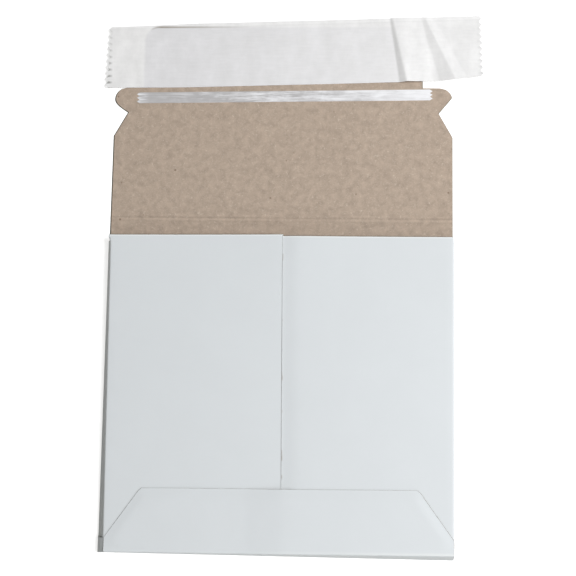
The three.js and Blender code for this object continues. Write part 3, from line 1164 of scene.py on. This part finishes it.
@dataclass
class BottomFlap:
    """The bottom fold and the trapezoid flap glued over both back panels."""

    board: Board
    height: float = 27.0
    straight: float = 6.2
    taper: float = 15.0
    corner: float = 0.8
    columns: int = 90
    flap_cells: int = 24
    wall_cells: int = 4
    ride_start: float = -12.0
    lift: float = -0.05
    pressed_edge: float = 5.0
    pressed_share: float = 0.5
    bevel: Quad = (0.17, 0.16, 0.05, 0.0)
    fold_highlight: float = 0.5
    tuck: float = 0.3
    tuck_height: float = 5.4
    flat_shift: float = 40.0

    def build(self) -> bpy.types.Object:
        """Makes the bottom wall and its flap.

        Returns:
            The object, at the origin.
        """
        board = self.board
        lap = board.seam(-board.depth / 2)
        right = board.side_edge(Side.RIGHT, -board.depth / 2)
        shares = np.linspace(0, 1, self.columns + 1)
        runs = [even(self.flap_cells), even(self.wall_cells), even(1)]
        grid, outs, flats, pressed = [], [], [], []
        for share in shares:
            base = -board.bottom_left + (board.bottom_left + board.bottom_right) * share
            fold = -board.depth / 2 + board.bottom_inset + base * tangent(board.bottom_turn)
            top = board.seam_top + self._ride(base, lap, right) + self.lift
            foot = board.bottom_foot(base)
            corners = [(fold + self.height, top), (fold, top), (foot, 0.0),
                       (foot + 3 * board.bend_radius, 0.0)]
            path, out = board.folded_path(corners, 1, runs)
            path, out = path[:-1], out[:-1]
            reach = np.clip(path[:, 0] - fold, 0, self.height)
            reach[self.flap_cells + FOLD_STEPS:] = 0
            left, far = self._tucked(path[:, 1], *self._edges(reach))
            across = left + (far - left) * share
            rising = np.clip(path[:, 1] / board.pocket_height, 0, 1)
            turned = (across - base) * tangent(board.bottom_turn) * rising
            heights = path[:, 1].copy()
            heights[: self.flap_cells + 1] = [board.seam_top + self._ride(x, lap, right) + self.lift
                                              for x in across[: self.flap_cells + 1]]
            inward = np.minimum(np.minimum(across - left, far - across), self.height - reach)
            press = self.pressed_share * (1 - smooth_step(inward, 0.0, self.pressed_edge))
            press *= board.thickness * smooth_step(reach, 0.0, self.pressed_edge)
            pressed.append(press)
            grid.append(np.stack([across, path[:, 0] + turned, heights - press], axis=1))
            outs.append(np.stack([np.zeros(len(path)), out[:, 0], out[:, 1]], axis=1))
            flats.append(np.stack([across + self.flat_shift, path[:, 0] - FLAT_GAP - path[:, 1],
                                   path[:, 0] * 0], axis=1))
        thickness = (board.thickness - np.array(pressed))[..., None]
        # Painted highlight along the bottom fold, growing towards the right where the lamp stands.
        painted_highlight = np.zeros(thickness.shape[:2])
        painted_highlight[:, self.flap_cells:self.flap_cells + FOLD_STEPS // 2] = self.fold_highlight * shares[:, None] ** 2
        sheet = BoardSheet("bottom_flap", np.array(grid) * MM, np.array(outs), np.array(flats) * MM,
                           thickness * MM, bevel=self.bevel, painted_highlight=painted_highlight)
        return sheet.build(board.finishes)

    def _ride(self, across: float, lap: float, right: float) -> float:
        """How far the flap rides up where it crosses the lap.

        Args:
            across: The place along X.
            lap: The right panel's edge over the lap.
            right: The pocket's right edge.

        Returns:
            The rise.
        """
        thickness = self.board.thickness
        if across <= lap:
            return thickness * min(max((across - self.ride_start) / (lap - self.ride_start), 0), 1)
        return thickness * min(max((right - across) / (right - lap), 0), 1)

    def _tucked(self, heights: np.ndarray, left: np.ndarray,
                far: np.ndarray) -> tuple[np.ndarray, np.ndarray]:
        """Widens the wall below its fold, so that its ends sit inside the leaning side walls.

        Args:
            heights: The height of each point of a column.
            left: The flap's left edge at each point.
            far: The flap's right edge at each point.

        Returns:
            The left and right edges, with those of the wall.
        """
        board = self.board
        low, half, top = -board.depth / 2, board.width / 2, board.pocket_height
        foot = half + board.left_foot_reach + board.left_corner_flare
        left_wall = board.leaning_face(foot, -board.side_edge(Side.LEFT, low), top, heights)
        right_wall = board.leaning_face(half, board.side_edge(Side.RIGHT, low), top, heights)
        below = heights < self.tuck_height
        return np.where(below, self.tuck - left_wall, left), np.where(below, right_wall, far)

    def _edges(self, reach: np.ndarray) -> tuple[np.ndarray, np.ndarray]:
        """The flap's left and right edges at a distance from the bottom fold.

        Args:
            reach: Distance from the fold, for each point of a column.

        Returns:
            The left and the right edge along X.
        """
        slanted = np.clip((reach - self.straight) / (self.height - self.straight), 0, 1) * self.taper
        near_top = np.clip((reach - self.height + self.corner) / self.corner, 0, 1)
        rounding = self.corner * 0.6 * near_top ** 3
        inset = slanted + rounding
        return -self.board.bottom_left + inset, self.board.bottom_right - inset


@dataclass
class FrontAndFlap:
    """The front panel and the closing flap beyond its crease, in one flat stretch of board."""

    board: Board
    shoulder: float = 37.5
    notch: float = 48.4
    notch_inset: float = 6.1
    ear_radius: float = 5.4
    ear_top: float = 60.0
    tab_width: float = 126.0
    tab_top: float = 88.6
    tab_corner: float = 6.4
    bead_height: float = 0.2
    bead_width: float = 0.8
    bead_sharpness: float = 2.2
    groove_place: float = 1.6
    groove_sharpness: float = 4.0
    groove_share: float = 0.45
    bevel: Quad = (0.0, 0.2, 0.62, 0.26)
    thin: float = 0.02
    columns: int = 96
    edge_colour: Quad = srgb(156, 152, 138)
    edge_dark: Quad = srgb(120, 116, 102)

    def build(self) -> bpy.types.Object:
        """Makes the panel and the flap, with the crease's bead.

        Returns:
            The object, at the origin.
        """
        stations = self._stations()
        board = self.board
        shares = np.linspace(-1, 1, self.columns + 1)
        rows = []
        for along, left, right in stations:
            across = np.where(shares < 0, -shares * left, shares * right)
            rows.append(np.stack([across, np.full_like(across, along), np.zeros_like(across)], axis=1))
        points = np.array(rows)
        bead = self._bead(points)
        out = np.zeros_like(points)
        out[..., 2] = -1.0
        sheet = BoardSheet("front_panel_and_flap", points * MM, out, points * MM, board.thickness * MM,
                           bevel=self.bevel, bevel_kraft=True)
        worn = CutEdgeFinish("flap_edge", self.edge_colour, self.edge_dark).make()
        return self._raise_bead(sheet.build({**board.finishes, Face.CUT: worn}), bead)

    def _raise_bead(self, piece: bpy.types.Object, bead: np.ndarray) -> bpy.types.Object:
        """Raises the crease bead on the kraft face.

        Args:
            piece: The board.
            bead: The height over the kraft by point.

        Returns:
            The same board.
        """
        count = bead.size
        for i, height in enumerate(bead.ravel()):
            piece.data.vertices[count + i].co.z += height * MM
        piece.data.update()
        return piece

    def _bead(self, points: np.ndarray) -> np.ndarray:
        """Height of the crease bead over the kraft face, with a shallow groove on each side of it.

        Args:
            points: The coated face by row and column.

        Returns:
            The height by row and column.
        """
        away = (points[..., 1] - self.board.crease) / self.bead_width
        crest = np.exp(-away ** 2 * self.bead_sharpness)
        groove = np.exp(-(np.abs(away) - self.groove_place) ** 2 * self.groove_sharpness)
        return self.bead_height * crest - self.bead_height * self.groove_share * groove

    def _stations(self) -> list[Triple]:
        """Rows along the board: the place along Y and the left and right edges there.

        Returns:
            The rows, from the bottom fold to the end of the tab.
        """
        board = self.board
        half = board.width / 2
        held = half - board.bend_radius
        low = -board.depth / 2
        fold_low = low + board.fold_bottom_stop
        fold_high = board.crease - board.left_mouth_drop - board.fold_mouth_stop
        crease = board.crease
        spans = ((low + board.bend_radius, fold_low, 5, half), (fold_low + self.thin, fold_high, 40, held),
                 (fold_high + self.thin, fold_high + self.thin, 1, half),
                 (fold_high + 0.6, crease - 2.4, 22, half), (crease - 2.2, crease + 2.2, 23, half),
                 (crease + 2.4, crease + 10, 18, half), (crease + 12, crease + self.shoulder, 10, half))
        rows = [(along, -edge, edge) for start, end, count, edge in spans
                for along in np.linspace(start, end, count)]
        for height in np.linspace(self.shoulder, self.notch, 7)[1:]:
            inset = self.notch_inset * (height - self.shoulder) / (self.notch - self.shoulder)
            rows.append((crease + height, -half + inset, half - inset))
        rows += self._ear_rows(half)
        tab = self.tab_width / 2
        corner = crease + self.tab_top - self.tab_corner
        rows += [(along, -tab, tab) for along in np.linspace(crease + self.ear_top + self.thin, corner, 9)]
        for angle in np.linspace(0, math.pi / 2, 9)[1:]:
            edge = tab - self.tab_corner * (1 - math.cos(angle))
            rows.append((corner + self.tab_corner * math.sin(angle), -edge, edge))
        return rows

    def _ear_rows(self, half: float) -> list[Triple]:
        """Rows through the two ears: the left one round below, the right one straight.

        Args:
            half: Half the panel's width.

        Returns:
            Rows as _stations gives them.
        """
        centre = self.ear_top - self.ear_radius
        middle = half - self.ear_radius
        tip = centre + self.ear_radius * 0.12
        rows = []
        for height in np.linspace(self.notch, self.ear_top, 18)[1:]:
            away = (height - centre) / self.ear_radius
            arc = middle + self.ear_radius * math.sqrt(max(0.0, 1 - min(1.0, away * away)))
            blend = min(1.0, (height - self.notch) / (centre - self.notch))
            notch = half - self.notch_inset
            straight = notch + (half - 0.4 - notch) * min(1.0, (height - self.notch) / (tip - self.notch))
            left = arc if height > centre else notch + (half - notch) * math.sin(blend * math.pi / 2)
            right = arc if height > tip else min(straight, half)
            rows.append((self.board.crease + height, -left, right))
        return rows


@dataclass
class ReleaseLiner:
    """The peeled liner, a thin sheet with toothed ends and the folds left in it, made by a node tree."""

    length: float = 170.0
    width: float = 29.9
    thickness: float = 0.12
    tooth_pitch: float = 3.0
    tooth_depth: float = 1.3
    tooth_reach: float = 5.0
    end_slant: float = 3.6
    end_slant_stop: float = -60.0
    place: Triple = (4.6, 149.55, 0.68)
    turn: float = 1.6
    left_corner_drop: float = 1.3
    left_rise: float = 0.5
    left_bow_stop: float = -40.0
    right_corner_rise: float = 1.4
    right_bow_start: float = 63.0
    curl: float = 0.5
    curl_stop: float = -58.0
    step_place: float = 45.7
    step_slant: float = 7.0
    step_slope: float = 0.47
    step_width: Pair = (3.1, 1.1)
    step_settle: Triple = (3.4, 15.0, 0.15)
    wedge_place: float = 61.5
    wedge_slant: float = 14.4
    wedge_slope: float = 0.19
    ridge_place: float = 65.9
    ridge_slant: float = 23.2
    ridge_fall: float = 0.13
    valley_place: float = 70.8
    valley_slant: float = 24.0
    valley_rise: float = 0.02
    ripple: float = 0.35
    ripple_scale: float = 34.0
    ripple_floor: float = 0.35
    seed: float = 7.0
    columns: int = 341
    rows: int = 81
    sharp_angle: float = 50.0

    def build(self, paper: bpy.types.Material) -> bpy.types.Object:
        """Runs the node tree on an empty mesh and keeps its result as a plain mesh.

        Args:
            paper: The liner's material.

        Returns:
            The liner, at the origin, with its place in its mesh.
        """
        tree, names = self._tree(paper)
        carrier = linked("liner_source", bpy.data.meshes.new("liner_source"))
        modifier = carrier.modifiers.new("liner", "NODES")
        modifier.node_group = tree
        for name, value in self._inputs().items():
            modifier[names[name]] = value
        depsgraph = bpy.context.evaluated_depsgraph_get()
        mesh = bpy.data.meshes.new_from_object(carrier.evaluated_get(depsgraph))
        mesh.name = "release_liner_sheet"
        carrier.modifiers.remove(modifier)
        bpy.data.objects.remove(carrier)
        self._set_in_place(mesh)
        mesh.shade_smooth()
        mesh.set_sharp_from_angle(angle=math.radians(self.sharp_angle))
        return linked("release_liner_sheet", mesh)

    def _set_in_place(self, mesh: bpy.types.Mesh) -> None:
        """Turns the sheet and moves it onto the tab, within its mesh.

        Args:
            mesh: The flat-lying sheet, which is moved.
        """
        count = len(mesh.vertices)
        points = np.zeros(count * 3)
        mesh.vertices.foreach_get("co", points)
        points = points.reshape(count, 3)
        cosine, sine = math.cos(math.radians(self.turn)), math.sin(math.radians(self.turn))
        across = points[:, 0] * cosine - points[:, 1] * sine + self.place[0] * MM
        along = points[:, 0] * sine + points[:, 1] * cosine + self.place[1] * MM
        moved = np.stack([across, along, points[:, 2] + self.place[2] * MM], axis=1)
        mesh.vertices.foreach_set("co", moved.ravel())
        mesh.update()

    def _inputs(self) -> dict[str, float]:
        """The tree's inputs in metres."""
        return {
            "Length": self.length * MM, "Width": self.width * MM, "Thickness": self.thickness * MM,
            "Tooth Pitch": self.tooth_pitch * MM, "Tooth Depth": self.tooth_depth * MM,
            "Step Slope": self.step_slope, "Wedge Slope": self.wedge_slope,
            "Ripple": self.ripple * MM, "Seed": self.seed,
        }

    def _tree(self, paper: bpy.types.Material) -> tuple[bpy.types.NodeTree, dict[str, str]]:
        """Builds the tree.

        Args:
            paper: The material that the tree sets.

        Returns:
            The tree, and each input's identifier by its name.
        """
        tree = bpy.data.node_groups.new("release_liner", "GeometryNodeTree")
        names = {}
        for name in self._inputs():
            made = tree.interface.new_socket(name, in_out="INPUT", socket_type="NodeSocketFloat")
            names[name] = made.identifier
        tree.interface.new_socket("Geometry", in_out="OUTPUT", socket_type="NodeSocketGeometry")
        canvas = Canvas(tree)
        source = tree.nodes.new("NodeGroupInput")
        value = {name: Field(canvas, source.outputs[name]) for name in names}
        grid = canvas.node("GeometryNodeMeshGrid", None,
                           {"Size X": value["Length"], "Size Y": value["Width"],
                            "Vertices X": self.columns, "Vertices Y": self.rows})
        across, along = canvas.split(canvas.node("GeometryNodeInputPosition"))
        shaped = self._shape(canvas, value, across, along)
        bent = canvas.node("GeometryNodeSetPosition", None, {"Geometry": grid, "Position": shaped})
        raised = canvas.node("GeometryNodeExtrudeMesh", {"mode": "FACES"},
                             {"Mesh": bent, "Offset Scale": value["Thickness"], "Individual": False})
        under = canvas.node("GeometryNodeFlipFaces", None, {"Mesh": bent})
        joined = canvas.node("GeometryNodeJoinGeometry")
        for part in (raised, under):
            tree.links.new(part.socket, joined.socket.node.inputs[0])
        merged = canvas.node("GeometryNodeMergeByDistance", None, {"Geometry": joined, "Distance": 1e-6})
        real = canvas.node("GeometryNodeRealizeInstances", None, {"Geometry": merged})
        dressed = canvas.node("GeometryNodeSetMaterial", None, {"Geometry": real, "Material": paper})
        sink = tree.nodes.new("NodeGroupOutput")
        tree.links.new(dressed.socket, sink.inputs[0])
        return tree, names

    def _shape(self, canvas: Canvas, value: dict[str, Field], across: Field, along: Field) -> Field:
        """Where each point of the flat grid goes: teeth, bowed edges, folds and ripples.

        Args:
            canvas: The tree's canvas.
            value: The tree's inputs by name.
            across: X on the flat grid.
            along: Y on the flat grid.

        Returns:
            Each point's new place.
        """
        half = value["Length"] * 0.5
        start = -self.length / 2 * MM
        tooth = 1.0 - canvas.repeat(along + value["Width"] * 0.5, value["Tooth Pitch"])
        at_end = canvas.ramp(abs(across), half - self.tooth_reach * MM, half)
        out = across - canvas.math("SIGN", across) * tooth * value["Tooth Depth"] * at_end
        slanting = canvas.ramp(across, start, self.end_slant_stop * MM, 1.0, 0.0)
        out = out + slanting * along * tangent(self.end_slant)
        high = canvas.ramp(along, -self.width / 2 * MM, self.width / 2 * MM)
        left = canvas.ramp(across, start, self.left_bow_stop * MM, 1.0, 0.0, smooth=True)
        right = canvas.ramp(across, self.right_bow_start * MM, -start, 0.0, 1.0, smooth=True)
        drop = high * self.left_corner_drop - self.left_rise
        bowed = along - left * drop * MM + right * (1.0 - high) * self.right_corner_rise * MM
        step, wedge, ridge, valley = (
            across - place * MM + along * tangent(slant) for place, slant in (
                (self.step_place, self.step_slant), (self.wedge_place, self.wedge_slant),
                (self.ridge_place, self.ridge_slant), (self.valley_place, self.valley_slant)))
        slope = value["Wedge Slope"]
        tent = wedge.at_least(0.0) * slope - ridge.at_least(0.0) * (slope + self.ridge_fall)
        tent = tent + valley.at_least(0.0) * (self.ridge_fall + self.valley_rise)
        wide = canvas.ramp(high, 0.0, 1.0, self.step_width[0] * MM, self.step_width[1] * MM)
        near, far, least = self.step_settle
        settle = canvas.ramp(step, near * MM, far * MM, 1.0, least)
        rise = step.at_least(0.0).at_most(wide) * value["Step Slope"] * settle
        spread = canvas.node("ShaderNodeCombineXYZ", None, {0: across, 1: along * 0.5})
        waves = canvas.node("ShaderNodeTexNoise", {"noise_dimensions": "4D"},
                            {"Vector": spread, "W": value["Seed"], "Scale": self.ripple_scale, "Detail": 1.5})
        curl = canvas.ramp(across, start, self.curl_stop * MM, 1.0, 0.0, smooth=True)
        ripples = (waves - self.ripple_floor).at_least(0.0) * value["Ripple"] * 2.0
        height = rise + tent.at_least(0.0) + ripples + curl * self.curl * MM
        return canvas.node("ShaderNodeCombineXYZ", None, {0: out, 1: bowed, 2: height})


@dataclass
class Mailer:
    """The whole mailer: the board in four stretches, the adhesive and the liner."""

    board: Board = field(default_factory=Board)

    def build(self) -> None:
        """Builds every piece, sets what it rides on and what it stands for."""
        self.board.finishes = {
            Face.COATED: CoatedBoardFinish().make(),
            Face.KRAFT: KraftFinish().make(),
            Face.CUT: CutEdgeFinish().make(),
        }
        makers = [BackPanel(self.board, side) for side in Side] + [BottomFlap(self.board)]
        for maker in makers:
            piece = maker.build()
            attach(piece, POCKET_BODY)
            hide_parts("pocket")
            LOG.info("%s: %d faces", piece.name, len(piece.data.polygons))
        self._front()
        self._strip()
        self._liner()

    def _front(self) -> None:
        """Builds the front panel and flap in one flat piece."""
        piece = FrontAndFlap(self.board).build()
        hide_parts("pocket", "closing_flap")
        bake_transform(piece)

    def _strip(self) -> None:
        """Gives the adhesive strip its finish."""
        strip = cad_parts["adhesive_strip"]
        finish = AdhesiveFinish().make()
        strip.data.materials.clear()
        strip.data.materials.append(finish)
        LOG.info("%s dressed", strip.name)

    def _liner(self) -> None:
        """Builds the liner and lays it over the tab."""
        piece = ReleaseLiner().build(LinerFinish().make())
        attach(piece, FLAP_BODY)
        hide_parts("release_liner")
        LOG.info("%s: %d faces", piece.name, len(piece.data.polygons))


@dataclass
class Studio:
    """A pale floor, a white surround, two broad soft lamps and the camera over the mailer."""

    floor_seen: Quad = (0.95, 0.95, 0.95, 1.0)
    floor_bounce: Quad = (0.15, 0.15, 0.1, 1.0)
    floor_glow: float = 0.62
    glow_reach: Pair = (0.2, 0.7)
    floor_reach: float = 1.6
    floor_drop: float = 0.05 * MM
    ambient: float = 0.19
    ambient_colour: Quad = (1.0, 0.99, 0.93, 1.0)
    lamp_power: float = 15.0
    lamp_colour: Triple = (0.98, 0.99, 1.0)
    lamp_size: float = 0.7
    lamp_place: Triple = (0.83, 0.1, 0.95)
    fill_power: float = 3.1
    fill_size: float = 0.9
    fill_place: Triple = (0.15, -1.0, 0.38)
    camera_place: Triple = (0.0241, -0.0087, 0.4375)
    camera_turn: Triple = (6.707, 2.518, 0.999)
    focal_pixels: float = 1000.0
    frame_pixels: float = 576.0
    sensor: float = 36.0

    def build(self) -> None:
        """Makes the floor, the lights and the camera."""
        self._floor()
        self._world()
        self._lamp("soft_lamp", self.lamp_place, self.lamp_power, self.lamp_size)
        self._lamp("low_fill", self.fill_place, self.fill_power, self.fill_size)
        self._camera()
        bpy.context.scene.view_settings.view_transform = "Standard"

    def _floor(self) -> None:
        """A wide pale floor just under the mailer."""
        reach, low = self.floor_reach, -self.floor_drop
        mesh = bpy.data.meshes.new("floor")
        corners = [(-reach, -reach, low), (reach, -reach, low), (reach, reach, low), (-reach, reach, low)]
        mesh.from_pydata(corners, [], [(0, 1, 2, 3)])
        material, canvas, shader = new_material("floor")
        seen = self._seen(canvas)
        canvas.feed(shader.inputs["Base Color"], canvas.mix(seen, self.floor_bounce, self.floor_seen))
        shader.inputs["Roughness"].default_value = 0.9
        shader.inputs["Specular IOR Level"].default_value = 0.0
        away = canvas.node("ShaderNodeVectorMath", {"operation": "LENGTH"},
                           {0: canvas.object_place()}, out="Value")
        glow = canvas.ramp(away, *self.glow_reach, self.floor_glow, 1.0)
        canvas.feed(shader.inputs["Emission Color"], canvas.shade(WHITE, seen * glow))
        shader.inputs["Emission Strength"].default_value = 1.0
        mesh.materials.append(material)
        floor = linked("floor", mesh)

    def _world(self) -> None:
        """Even light all round, white where the camera sees it."""
        world = bpy.data.worlds.new("surround")
        bpy.context.scene.world = world
        world.use_nodes = True
        canvas = Canvas(world.node_tree)
        background = world.node_tree.nodes["Background"]
        seen = self._seen(canvas)
        canvas.feed(background.inputs["Color"], canvas.mix(seen, self.ambient_colour, WHITE))
        canvas.feed(background.inputs["Strength"], canvas.ramp(seen, 0, 1, self.ambient, 1.0))

    @staticmethod
    def _seen(canvas: Canvas) -> Field:
        """1 where the camera sees the surround, straight or in a reflection or through glass.

        Args:
            canvas: The canvas that the nodes go on.

        Returns:
            The mask.
        """
        path = canvas.node("ShaderNodeLightPath", out="Is Camera Ray")
        outputs = path.socket.node.outputs
        glossy = Field(canvas, outputs["Is Glossy Ray"])
        through = Field(canvas, outputs["Is Transmission Ray"])
        return path.at_least(glossy).at_least(through)

    def _lamp(self, name: str, place: Triple, power: float, size: float) -> None:
        """Adds a broad soft lamp that looks at the mailer.

        Args:
            name: The lamp's name.
            place: Where it stands, in metres.
            power: Its power in watts.
            size: Its width in metres.
        """
        light = bpy.data.lights.new(name, "AREA")
        light.shape = "SQUARE"
        light.size = size
        light.energy = power
        light.color = self.lamp_colour
        lamp = linked(name, light)
        lamp.location = place
        lamp.rotation_euler = Vector(place).to_track_quat("Z", "Y").to_euler()

    def _camera(self) -> None:
        """The camera over the mailer, at the photograph's angle."""
        data = bpy.data.cameras.new("camera")
        data.sensor_width = self.sensor
        data.lens = self.focal_pixels / self.frame_pixels * self.sensor
        data.clip_start = 0.01
        camera = linked("camera", data)
        camera.location = self.camera_place
        camera.rotation_euler = tuple(math.radians(angle) for angle in self.camera_turn)
        bpy.context.scene.camera = camera


def main() -> None:
    """Builds the mailer and its studio."""
    logging.basicConfig(level=logging.INFO, format="%(name)s %(message)s")
    Mailer().build()
    Studio().build()


if __name__ == "__main__":
    main()
